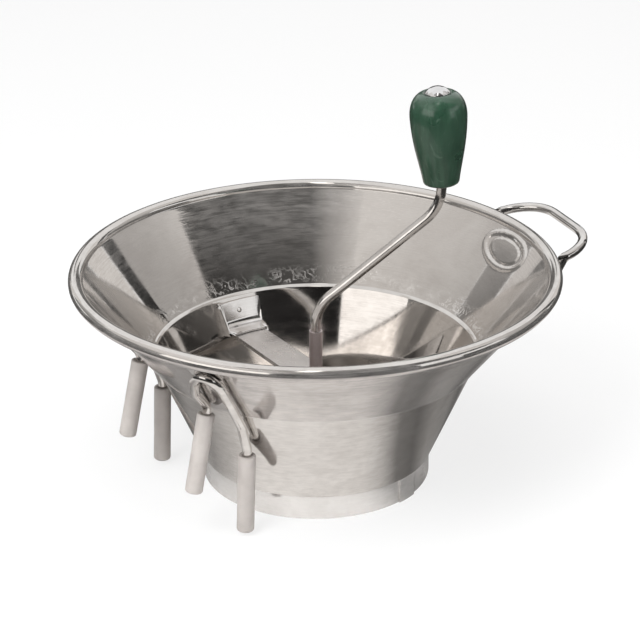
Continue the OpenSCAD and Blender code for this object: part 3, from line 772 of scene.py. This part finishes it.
def press_boss(piece):
    """Moves wall points near the boss's axis in, by its oval band and its oval middle."""
    v = read(piece.data.vertices, "co")
    into = unit([-math.cos(boss_az), -math.sin(boss_az), upper_slope])
    centre = polar(upper_r(boss_z), math.degrees(boss_az), boss_z)
    level = unit(np.cross([0, 0, 1], into))
    steep = np.cross(into, level)
    # A wall point's distance along the curved sheet is its angle times the radius.
    round_it = (np.arctan2(v[:, 1], v[:, 0]) - boss_az) * upper_r(boss_z)
    up_it = (v - centre) @ steep
    outer = past_oval(round_it, up_it, boss_half)
    middle = past_oval(round_it, up_it, boss_middle)
    soft = 0.9 * MM
    wall = (np.abs(round_it) < 32 * MM) & (v[:, 2] > ledge_z + 2 * MM) & (v[:, 2] < rim_z - 0.5 * MM)
    lift = step(-outer, -0.3 * MM, soft) * (1 - step(-outer, boss_band - 0.2 * MM, boss_band + soft))
    dome = 1 - np.hypot(round_it / boss_middle[0], up_it / boss_middle[1]) ** 2
    lift = lift + 0.75 * step(-middle, -soft, soft * 0.6) + 0.45 * np.clip(dome, 0, 1)
    v += np.where(wall, lift * boss_h, 0)[:, None] * into
    piece.data.vertices.foreach_set("co", v.ravel())


def dent(piece):
    """Gives a spun sheet the slow waves that a real one has, by a sum of sines round the axis."""
    v = read(piece.data.vertices, "co")
    az = np.arctan2(v[:, 1], v[:, 0])
    h = v[:, 2] / rim_z
    wave = 0.5 * np.sin(3 * az + 4 * h) + 0.3 * np.sin(7 * az - 9 * h + 1)
    wave += 0.2 * np.sin(13 * az + 14 * h + 2)
    # The foot holds the sheet still, and the rolled rim nearly does.
    free = np.clip((v[:, 2] - 20 * MM) / (30 * MM), 0, 1)
    free *= np.clip((rim_z + 6 * MM - v[:, 2]) / (20 * MM), 0.3, 1)
    push = 1 + dent_depth * wave * free / np.hypot(v[:, 0], v[:, 1])
    v[:, :2] *= push[:, None]
    piece.data.vertices.foreach_set("co", v.ravel())


press_boss(bowl)
dent(bowl)
made(bowl, tinplate, "tinplate", "mill", "bowl", sharp_angle=50)
bowl.data.materials.append(tin_outside)
bowl.data.materials.append(flare_painted_shade)
centre, normal = read(bowl.data.polygons, "center"), read(bowl.data.polygons, "normal")
outward = (centre[:, 0] * normal[:, 0] + centre[:, 1] * normal[:, 1] > 0) & (normal[:, 2] < 0)
# Outside faces above the ledge take the darker flare finish, which is painted shade.
finish = outward.astype(np.int32) + (outward & (centre[:, 2] > ledge_z))
bowl.data.polygons.foreach_set("material_index", finish.astype(np.int32))
nodes["rim_wire"].data.materials.clear()
nodes["rim_wire"].data.materials.append(wire_tin)
print("bowl", len(bowl.data.polygons), "faces")

# %% [markdown]
# ## The foot ring
#
# The ring is a strip bent round until its ends overlap and are joined. Its outer end lies on the
# inner one for a short way, then steps in by its own thickness.

# %% Foot ring
ring_sheet = 1.2 * MM
ring_out_r = 72.9 * MM
ring_mid = min(ring_high[1], ring_out_r) - ring_sheet / 2
lap_start = math.radians(-44.5)
lap_end = lap_start + 14 * MM / ring_out_r
step_end = lap_end + math.radians(2.2)
half_t = ring_sheet / 2
corner = 0.35 * MM
section = bent(
    [
        (half_t, ring_h / 2), (half_t, ring_h), (-half_t, ring_h),
        (-half_t, 0), (half_t, 0), (half_t, ring_h / 2),
    ],
    [corner] * 4, 4,
)[:-1]
section = spaced(section, 4 * MM)
sweep = np.concatenate(
    [np.linspace(lap_start, step_end, 24), np.linspace(step_end, lap_end + 2 * math.pi, 300)[1:]]
)
rise = np.clip((step_end - sweep) / (step_end - lap_end), 0, 1)
offset = (ring_sheet + 0.05 * MM) * rise * rise * (3 - 2 * rise)
radius = ring_mid + offset[:, None] + section[None, :, 0]
ring_heights = np.tile(section[:, 1], (len(sweep), 1))
ring_points = np.stack(
    [radius * np.cos(sweep)[:, None], radius * np.sin(sweep)[:, None], ring_heights], -1
)
ring = grid_mesh("foot_ring", ring_points, wrap_columns=True, caps=True)
made(ring, ring_tin, "tinplate", "mill", "base_ring")

# %% [markdown]
# ## Wires
#
# Handle, leg brackets and crank are bent from round wire. Each is a list of corners, given in the
# piece's own terms, and the bends between them.

# %% Handle
handle_az = 23.5
handle_wire = 6 * MM
handle_half = 43.5 * MM
handle_end = 178.6 * MM
pad_t = 1.2 * MM
snug = 0.1 * MM
handle_off = pad_t + snug + handle_wire / 2
foot_z = ledge_z + (rim_z - ledge_z) * 0.52
bend_z = rim_z - 11 * MM


def level_a(r):
    """Distance out along the handle of a point at radius r, at the handle's half width."""
    return math.sqrt(r * r - handle_half**2)


under = bead_r + handle_wire / 2 + 0.8 * MM
half = [
    (level_a(off_wall(foot_z, handle_off)), foot_z),
    (level_a(off_wall(bend_z, handle_off)), bend_z),
    (level_a(bead_c + bead_r), rim_z - under),
    (level_a(rim_r + handle_wire / 2 + 1.6 * MM), rim_z),
    (handle_end, rim_z + 5 * MM),
]
corners = [(a, handle_half, z) for a, z in half] + [(a, -handle_half, z) for a, z in reversed(half)]
bends = [r * MM for r in (9, 5, 4.5, 28, 28, 4.5, 5, 9)]
handle_line = spaced(bent(corners, bends), 3 * MM)
handle = wire("wire_handle", handle_line, handle_wire / 2)
placed(handle, Matrix.Rotation(math.radians(handle_az), 4, "Z"))
made(handle, wire_tin, "wire_steel", "mill", "handle")

# %% Leg brackets and sleeves
leg_az = 210.4
leg_wire = 6 * MM
sleeve_r = 5.5 * MM
sleeve_l = 51.5 * MM
sleeve_end = 3 * MM
leg_off = pad_t + snug + leg_wire / 2
prong_l = sleeve_l + 3.5 * MM
inner_top = (ledge_r + sleeve_r + 0.4 * MM, 23.4, ledge_z + 3.3 * MM)
inner_foot = (inner_top[0] + 11 * MM, 21.7, inner_top[2] - prong_l)
outer_top_z = 2.5 * MM + prong_l
outer_top = (lower_r(outer_top_z) + sleeve_r + 1.5 * MM, 34.5, outer_top_z)
outer_foot = (outer_top[0] + 1.8 * MM, 33.8, 2.5 * MM)
on_wall = [
    (24.8, rim_z - 34 * MM), (28.2, rim_z - 20 * MM), (32.6, rim_z - 9 * MM),
    (35.4, rim_z - 20 * MM), (34.8, ledge_z + 8 * MM), (34.2, ledge_z - 8 * MM),
]
leg_bends = [r * MM for r in (8, 7, 9, 5.5, 10, 14, 12, 12)]
foot_round = 1.8 * MM
round_foot = [
    (sleeve_r - foot_round + foot_round * math.cos(a), foot_round + foot_round * math.sin(a))
    for a in np.linspace(-math.pi / 2, 0, 10)
]
bore_r = leg_wire / 2 + 0.05 * MM
sleeve_profile = np.array(
    [
        (0, 0), *round_foot, (sleeve_r * 0.99, sleeve_l * 0.35), (sleeve_r, sleeve_l * 0.7),
        (sleeve_r, sleeve_l - 0.6 * MM), (sleeve_r - 0.2 * MM, sleeve_l - 0.15 * MM),
        (sleeve_r - 0.6 * MM, sleeve_l), (leg_wire / 2 + 0.3 * MM, sleeve_l),
        (bore_r, sleeve_l - 0.4 * MM), (bore_r, sleeve_end), (0, sleeve_end),
    ]
)


def leg_point(p, side):
    """A leg corner given as radius, angle from the leg line and height."""
    return polar(p[0], leg_az + side * p[1], p[2])


def toward(a, b, d):
    """The point a distance d from a, on the way to b."""
    return a + unit(b - a) * d


def make_leg(label, side):
    """One bracket and its two sleeves."""
    feet = [leg_point(inner_foot, side), leg_point(outer_foot, side)]
    tops = [leg_point(inner_top, side), leg_point(outer_top, side)]
    lying = [polar(off_wall(z, leg_off), leg_az + side * a, z) for a, z in on_wall]
    starts = [toward(foot, top, sleeve_end) for foot, top in zip(feet, tops)]
    corners = [starts[0], tops[0], *lying, tops[1], starts[1]]
    bracket = wire(f"leg_wire_{label}", spaced(bent(corners, leg_bends), 3 * MM), leg_wire / 2)
    made(bracket, wire_tin, "wire_steel", "mill", f"leg_bracket_{label}")
    for where, foot, top in zip(("inner", "outer"), feet, tops):
        sleeve = turned(f"leg_sleeve_{label}_{where}", sleeve_profile, 48, closed=False)
        placed(sleeve, standing(foot, top))
        made(sleeve, plastic, "sleeve_plastic", "mill", f"sleeve_{label}_{where}", sharp_angle=60)


make_leg("rear", -1)
make_leg("front", 1)

# %% [markdown]
# ## Crank and knob
#
# The crank's rod stands upright in the bowl, leans out to the knob and turns up again as its
# spindle. The knob is turned to a pear shape, and a domed cap closes its top.

# %% Crank
rod_r = 3.2 * MM
crank_z = 112.2 * MM
crank_reach = 79.1 * MM
crank_lean = math.radians(49)
knob_lean = math.radians(3.2)
knob_axis = np.array([-math.sin(knob_lean), 0, math.cos(knob_lean)])
arm_elbow = np.array([crank_reach, 0, crank_z + crank_reach / math.tan(crank_lean)])
knob_foot = arm_elbow + knob_axis * 15.7 * MM
knob_h = 58.8 * MM
crank_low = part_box("crank_rod")[0]
pivot_r = 2.5 * MM
hub_low, hub_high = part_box("blade_hub")
rod_end = knob_foot + knob_axis * (knob_h + 2.4 * MM)
rod_bend = 28 * MM
rod_line = bent([(0, 0, hub_low[2]), (0, 0, crank_z), arm_elbow, rod_end], [rod_bend] * 2, 18)
rod = wire("crank_wire", spaced(rod_line, 3 * MM), rod_r, 32)
made(rod, wire_tin, "wire_steel", "crank", "crank_rod")
pivot_line = spaced(np.array([(0, 0, crank_low[2]), (0, 0, hub_low[2] + 1 * MM)]), 2 * MM)
pivot = wire("crank_pivot", pivot_line, pivot_r, 24)
made(pivot, spring_steel, "wire_steel", "crank")

# %% Knob and cap
knob_r = 17.8 * MM
knob_foot_r = 11.3 * MM
cap_r = 7.8 * MM
cap_h = 3.8 * MM


def bezier(p, n):
    """n points on the cubic curve with the four control points p."""
    p = np.array(p, float)
    t = np.linspace(0, 1, n)[:, None]
    ends = (1 - t) ** 3 * p[0] + t**3 * p[3]
    return ends + 3 * t * (1 - t) * ((1 - t) * p[1] + t * p[2])


wide = knob_h * 0.75
top_r = cap_r + 1.3 * MM
flank = [
    (knob_foot_r + 0.2 * MM, 2 * MM), (knob_foot_r + 1.9 * MM, knob_h * 0.23),
    (knob_r - 0.5 * MM, knob_h * 0.44), (knob_r, wide),
]
crown = [(knob_r, wide), (knob_r, knob_h * 0.885), (knob_r * 0.81, knob_h - 1 * MM), (top_r, knob_h)]
foot_edge = bezier(
    [(knob_foot_r - 1.4 * MM, 0), (knob_foot_r - 0.3 * MM, 0), (knob_foot_r, 0.8 * MM), flank[0]], 6
)
bore_r = rod_r + 0.06 * MM
sunk_z = knob_h - 1 * MM
lip = [(top_r - 0.35 * MM, knob_h - 0.25 * MM), (cap_r + 0.3 * MM, sunk_z), (bore_r, sunk_z)]
knob_profile = np.concatenate(
    [[(bore_r, 0)], foot_edge[:-1], bezier(flank, 30), bezier(crown, 24)[1:], lip]
)
at_knob = standing(knob_foot, knob_foot + knob_axis)
knob = turned("turned_knob", knob_profile, 128)
placed(knob, at_knob)
made(knob, lacquer, "knob_wood", "knob", "knob", sharp_angle=50)

cap_foot = knob_h - 0.7 * MM
dome_r = (cap_r**2 + cap_h**2) / (2 * cap_h)
lean = np.linspace(math.asin(cap_r / dome_r), 0, 22)
dome_foot = cap_foot + 0.8 * MM
dome = np.stack([dome_r * np.sin(lean), dome_foot + dome_r * np.cos(lean) - dome_r + cap_h], -1)
inner = knob_h + 2.5 * MM
cap_skirt = [
    (0, inner), (rod_r + snug, inner), (rod_r + snug, cap_foot), (cap_r - 0.2 * MM, cap_foot),
    (cap_r, cap_foot + 0.2 * MM),
]
cap_profile = np.concatenate([cap_skirt, dome])
cap = turned("knob_dome", cap_profile, 96, closed=False)
placed(cap, at_knob)
made(cap, chrome, "cap_chrome", "crank", "knob_cap", sharp_angle=50)

# %% [markdown]
# ## Blade and spring
#
# The blade is a helical ramp: it climbs clockwise from its scraping edge while its reach shrinks a
# little. The spring is wire on a helix, with its end turns lying flat.

# %% Blade
hub_r = (hub_high[0] - hub_low[0]) / 2
blade_reach = 55.2 * MM
blade_t = 1.6 * MM
f = np.linspace(0, 1, 90)[:, None]
across = np.linspace(0, 1, 14)[None, :]
reach = hub_r + snug + (blade_reach * (1 - 0.12 * f * f) - hub_r - snug) * across
turn_angle = np.radians(-200 * f)
height = hub_low[2] + 22 * MM * f**1.15
ramp = np.stack([reach * np.cos(turn_angle), reach * np.sin(turn_angle), height + 0 * across], -1)
lifted = ramp + np.array([0, 0, blade_t])
loop = np.concatenate([ramp, lifted[:, ::-1]], 1)
blade = grid_mesh("pressing_blade", loop, wrap_columns=True, caps=True)
made(blade, disc_tin, "disc_tinplate", "crank", "blade")

# %% Spring
spring_low, spring_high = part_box("pressure_spring")
spring_wire = 0.9 * MM
turns_count = 5
helix = np.linspace(0, 1, turns_count * 40 + 1)
helix_r = (spring_high[0] - spring_low[0]) / 2 - spring_wire
helix_low, helix_high = spring_low[2] + spring_wire, spring_high[2] - spring_wire
lead = np.clip((helix * turns_count - 0.4) / (turns_count - 0.8), 0, 1)
coiled = 2 * math.pi * turns_count * helix
climb = helix_low + (helix_high - helix_low) * lead
spring_line = np.stack([helix_r * np.cos(coiled), helix_r * np.sin(coiled), climb], -1)
spring = wire("pressure_coil", spring_line, spring_wire, 14)
made(spring, spring_steel, "spring_steel", "crank", "pressure_spring")
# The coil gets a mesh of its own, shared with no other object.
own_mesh(spring)

# %% [markdown]
# ## Folded and flat pieces
#
# The rest are plain sheet, bar and turned pieces whose shape the construction model already has.

# %% Dressed pieces
dressing = [
    ("sieve_disc", "perforated_disc", "mill", 0.0, disc_tin, "disc_tinplate"),
    ("shaft_sleeve", "shaft_tube", "crank", 0.25 * MM, tube_steel, "shaft_steel"),
    ("blade_hub", "hub", "crank", 0.4 * MM, disc_tin, "disc_tinplate"),
    ("hub_pin", "cross_pin", "crank", 0.2 * MM, spring_steel, "spring_steel"),
    ("spring_washer", "spring_seat", "crank", 0.2 * MM, spring_steel, "spring_steel"),
    ("bridge", "bridge_bar", "bridge", 0.5 * MM, bar_steel, "bar_steel"),
    ("bridge_bushing", "bar_bushing", "bridge", 0.3 * MM, tube_steel, "shaft_steel"),
    ("keeper_rear", "keeper_plate_rear", "mill", 0.3 * MM, pad_tin, "tinplate"),
    ("keeper_front", "keeper_plate_front", "mill", 0.3 * MM, pad_tin, "tinplate"),
    ("keeper_welds", "plug_welds", "mill", 0.15 * MM, pad_tin, "tinplate"),
    ("knob_washer", "foot_washer", "crank", 0.25 * MM, spring_steel, "spring_steel"),
    ("handle_pads", "handle_weld_pads", "mill", 0.3 * MM, pad_tin, "tinplate"),
    ("leg_pads", "leg_weld_pads", "mill", 0.3 * MM, pad_tin, "tinplate"),
]
for node_name, name, body, bevel, finish, slot in dressing:
    piece = dressed(node_name, name, body, bevel)
    piece.data.materials.clear()
    piece.data.materials.append(finish)

# %% [markdown]
# ## The studio
#
# Bright metal is mostly a picture of the room. A plain white room would make it look like chalk, so
# the mill is ringed with cards: each is a piece of a large sphere, seen only in reflections, that
# gives the metal a dark or a light to show. Their places suit the camera above; from other sides
# the same cards show as plain panels.


# %% Cards
def card(name, corners, tones, reach=5.0):
    """A piece of a sphere round the mill that fades evenly between the tones of its four corners.

    A corner is (side, height) in degrees, where side 0 lies towards the camera and 90 to its right.
    At shares s along and t up, corner and tone are
    (1 - s)(1 - t) first + s (1 - t) second + s t third + (1 - s) t fourth.
    """
    s = np.linspace(0, 1, 24)[:, None, None]
    t = np.linspace(0, 1, 12)[None, :, None]
    shares = [(1 - s) * (1 - t), s * (1 - t), s * t, (1 - s) * t]
    spots = sum(w * np.array(c, float) for w, c in zip(shares, corners))
    a, e = np.radians(spots[..., 0]), np.radians(spots[..., 1])
    points = reach * np.stack([np.sin(a) * np.cos(e), -np.cos(a) * np.cos(e), np.sin(e)], -1)
    return glowing(name, points, sum(w * v * np.ones(3) for w, v in zip(shares, tones)))


def glowing(name, points, tones):
    """A grid that only mirrors see, with a tone at each of its points."""
    piece = grid_mesh(name, points)
    warm = tones * np.array([1, 0.97, 0.94])
    shade = piece.data.attributes.new("tone", "FLOAT_COLOR", "POINT")
    shade.data.foreach_set("color", np.concatenate([warm, np.ones((*warm.shape[:2], 1))], -1).ravel())
    material = bpy.data.materials.new(name)
    material.use_nodes = True
    tree = material.node_tree
    tree.nodes.clear()
    tone = node(tree, "ShaderNodeAttribute", attribute_name="tone")
    glow = node(tree, "ShaderNodeEmission", [("Color", tone.outputs["Color"])])
    node(tree, "ShaderNodeOutputMaterial", [("Surface", glow.outputs[0])])
    piece.data.materials.append(material)
    piece.visible_camera = False
    piece.visible_diffuse = False
    piece.visible_shadow = False
    piece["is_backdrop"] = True
    return piece


for label, *about in [
    ("front_right", [(3, 29), (93, 29), (88, 42), (3, 42)], [0.045, 0.03, 0.05, 0.06]),
    ("front_right_high", [(3, 42), (88, 42), (60, 62), (3, 62)], [0.06, 0.05, 0.09, 0.10]),
    ("front_right_top", [(-2, 62), (60, 62), (60, 78), (9, 80)], [0.14, 0.14, 0.2, 0.2]),
    ("front", [(-33, 29), (3, 29), (3, 60), (-33, 60)], [0.70, 0.045, 0.085, 0.78]),
    ("top", [(-15, 60.5), (-3, 60.5), (11, 82), (-15, 82)], [2.4, 2.4, 2.4, 2.4]),
    ("left", [(-120, 24), (-33, 29), (-33, 60), (-110, 60)], [0.60, 0.70, 0.88, 0.86]),
    ("left_high", [(-48, 56), (-13, 58.5), (-13, 62), (-52, 62)], [0.30, 0.12, 0.12, 0.30], 4.8),
    ("left_top", [(-60, 60.5), (-14, 60.5), (-14, 80), (-60, 80)], [0.5, 0.3, 0.3, 0.5]),
    ("right", [(93, 29), (127, 12), (127, 50), (88, 42)], [0.42, 0.46, 0.55, 0.72]),
    ("right_high", [(88, 42), (127, 50), (120, 62), (60, 62)], [0.80, 0.60, 0.70, 0.90]),
    ("right_low", [(93, 15), (127, 8), (127, 12), (93, 29)], [0.30, 0.40, 0.45, 0.42]),
    ("right_stripe", [(127, 5), (134.5, 5), (134.5, 30), (127, 32)], [0.015, 0.015, 0.02, 0.02]),
    ("right_rear", [(135.5, 7.5), (150, 7.5), (150, 26), (135.5, 26)], [0.90, 0.90, 0.8, 0.8]),
    ("right_rear_low", [(124, 0.2), (165, 0.2), (165, 7), (137, 7)], [0.16, 0.12, 0.14, 0.2]),
    ("left_stripe", [(-137, 5), (-120, 8), (-120, 34), (-137, 30)], [0.09, 0.09, 0.50, 0.50]),
    ("left_rear", [(-148, 4), (-138, 4), (-138, 26), (-148, 26)], [0.72, 0.78, 0.75, 0.7]),
    ("left_rear_low", [(-165, 0.2), (-138, 0.2), (-148, 12), (-165, 12)], [0.12, 0.14, 0.18, 0.14]),
    ("low_front", [(-20, 0.2), (46, 0.2), (46, 28.5), (-20, 28.5)], [0.008, 0.014, 0.018, 0.010]),
    ("low_left", [(-71, 6), (-20, 6), (-20, 28.5), (-71, 27)], [1.45, 1.55, 1.55, 1.45]),
    ("low_left_foot", [(-71, 0.2), (-20, 0.2), (-20, 6), (-71, 6)], [0.05, 0.05, 0.05, 0.05]),
    ("low_far_left", [(-120, 0.2), (-71, 0.2), (-71, 27), (-120, 22)], [0.08, 0.10, 0.30, 0.20]),
    ("low_right", [(66, 0.2), (124, 0.2), (124, 13), (66, 15)], [0.04, 0.05, 0.06, 0.05]),
    ("behind", [(165, 0.2), (195, 0.2), (195, 24), (165, 24)], [0.05, 0.05, 0.10, 0.10]),
]:
    card(f"card_{label}", *about)

# %% [markdown]
# The outside of the bowl looks down, so what it mirrors is the floor close to the foot, where the
# bowl shades it. A flat ring there gives each side its own tone, bright in front and dark at the
# right. Further out it is paper white, and past the paper's edge a dark room begins, which draws a
# dark line along every wire and along the bead.

# %% Floor ring
ring_tones = np.array([
    (-180, 0.30), (-150, 0.36), (-132, 0.45), (-112, 0.14), (-92, 0.36), (-75, 0.36), (-60, 0.60),
    (-45, 0.82), (-30, 1.0), (10, 1.0), (28, 0.92), (40, 0.62), (52, 0.22), (66, 0.16), (82, 0.30),
    (100, 0.26), (115, 0.12), (130, 0.30), (150, 0.36), (180, 0.30),
])
paper_tone, room_tone = 0.95, 0.05
side = np.linspace(-180, 180, 181)
ring_reach = np.array([0.07, 0.17, 0.26, 0.34, 4.9])[None, :]
past_shade = np.array([0, 0, 1, 0, 0])[None, :]
past_paper = np.array([0, 0, 0, 1, 1])[None, :]
ring_tone = np.interp(side, *ring_tones.T)[:, None]
ring_tone = ring_tone + (paper_tone - ring_tone) * past_shade + (room_tone - ring_tone) * past_paper
turn_side = np.radians(side)[:, None]
ring_x, ring_y = ring_reach * np.sin(turn_side), -ring_reach * np.cos(turn_side)
above_floor = 0.4 * MM
ring_points = np.stack([ring_x, ring_y, np.full_like(ring_x, above_floor)], -1)
glowing("floor_ring", ring_points, ring_tone[..., None] * np.ones(3))


# %% [markdown]
# The floor is a pale matt sheet. The lamps are large and soft: a key from the front left, a fill
# from the right and a top light, set so that a white surface comes out just white.

# %% Floor, lamps and world
def seen_by_eye_or_gloss(tree):
    """One where the camera, a mirror or a glass looks, and zero for light that spreads."""
    path = node(tree, "ShaderNodeLightPath")
    seen = math_node(tree, "MAXIMUM", path.outputs["Is Camera Ray"], path.outputs["Is Glossy Ray"])
    return math_node(tree, "MAXIMUM", seen, path.outputs["Is Transmission Ray"])


floor_mesh = bpy.data.meshes.new("floor")
span = 6.0
floor_corners = [(-span, -span, 0), (span, -span, 0), (span, span, 0), (-span, span, 0)]
floor_mesh.from_pydata(floor_corners, [], [(0, 1, 2, 3)])
floor = bpy.data.objects.new("floor", floor_mesh)
bpy.context.scene.collection.objects.link(floor)
floor_paper, tree, shader, place = new_material("floor_paper")
shader.inputs["Base Color"].default_value = (0.93, 0.93, 0.93, 1)
shader.inputs["Roughness"].default_value = 0.9
shader.inputs["Specular IOR Level"].default_value = 0.1
white = node(tree, "ShaderNodeEmission", values={"Color": (1, 1, 1, 1), "Strength": 1.0})
washed = math_node(tree, "MULTIPLY", seen_by_eye_or_gloss(tree), 0.75)
soft = node(tree, "ShaderNodeMixShader", [(0, washed), (1, shader.outputs[0]), (2, white.outputs[0])])
output = next(n for n in tree.nodes if n.type == "OUTPUT_MATERIAL")
tree.links.new(soft.outputs[0], output.inputs["Surface"])
floor.data.materials.append(floor_paper)
floor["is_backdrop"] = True


def lamp(name, side, height, distance, size, power):
    """A square soft lamp aimed at the mill, placed by side and height in degrees."""
    data = bpy.data.lights.new(name, "AREA")
    data.shape = "SQUARE"
    data.size = size
    data.energy = power
    made_lamp = bpy.data.objects.new(name, data)
    a, e = math.radians(side), math.radians(height)
    spot = Vector((math.sin(a) * math.cos(e), -math.cos(a) * math.cos(e), math.sin(e))) * distance
    aim = Vector((0, 0, 0.09))
    made_lamp.matrix_world = standing(spot, 2 * spot - aim)
    made_lamp.visible_glossy = False
    bpy.context.scene.collection.objects.link(made_lamp)
    return made_lamp


lamp("key", -38, 48, 1.8, 0.9, 26)
lamp("fill", 48, 35, 2.2, 1.2, 12)
lamp("top", 10, 85, 1.9, 1.2, 14)

world = bpy.data.worlds.new("studio")
world.use_nodes = True
bpy.context.scene.world = world
tree = world.node_tree
tree.nodes.clear()
seen = seen_by_eye_or_gloss(tree)
ambient = node(tree, "ShaderNodeBackground", values={"Color": (1, 1, 1, 1), "Strength": 0.42})
backdrop = node(tree, "ShaderNodeBackground", values={"Color": (1, 1, 1, 1), "Strength": 1.0})
blend = node(tree, "ShaderNodeMixShader", [(0, seen), (1, ambient.outputs[0]), (2, backdrop.outputs[0])])
node(tree, "ShaderNodeOutputWorld", [("Surface", blend.outputs[0])])

# %% [markdown]
# ## Sizes
#
# The dressed mill has to fill the same box as the construction model, so its box is printed.

# %% Print sizes and finish
low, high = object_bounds()
print("dressed model from", tuple(low), "to", tuple(high))
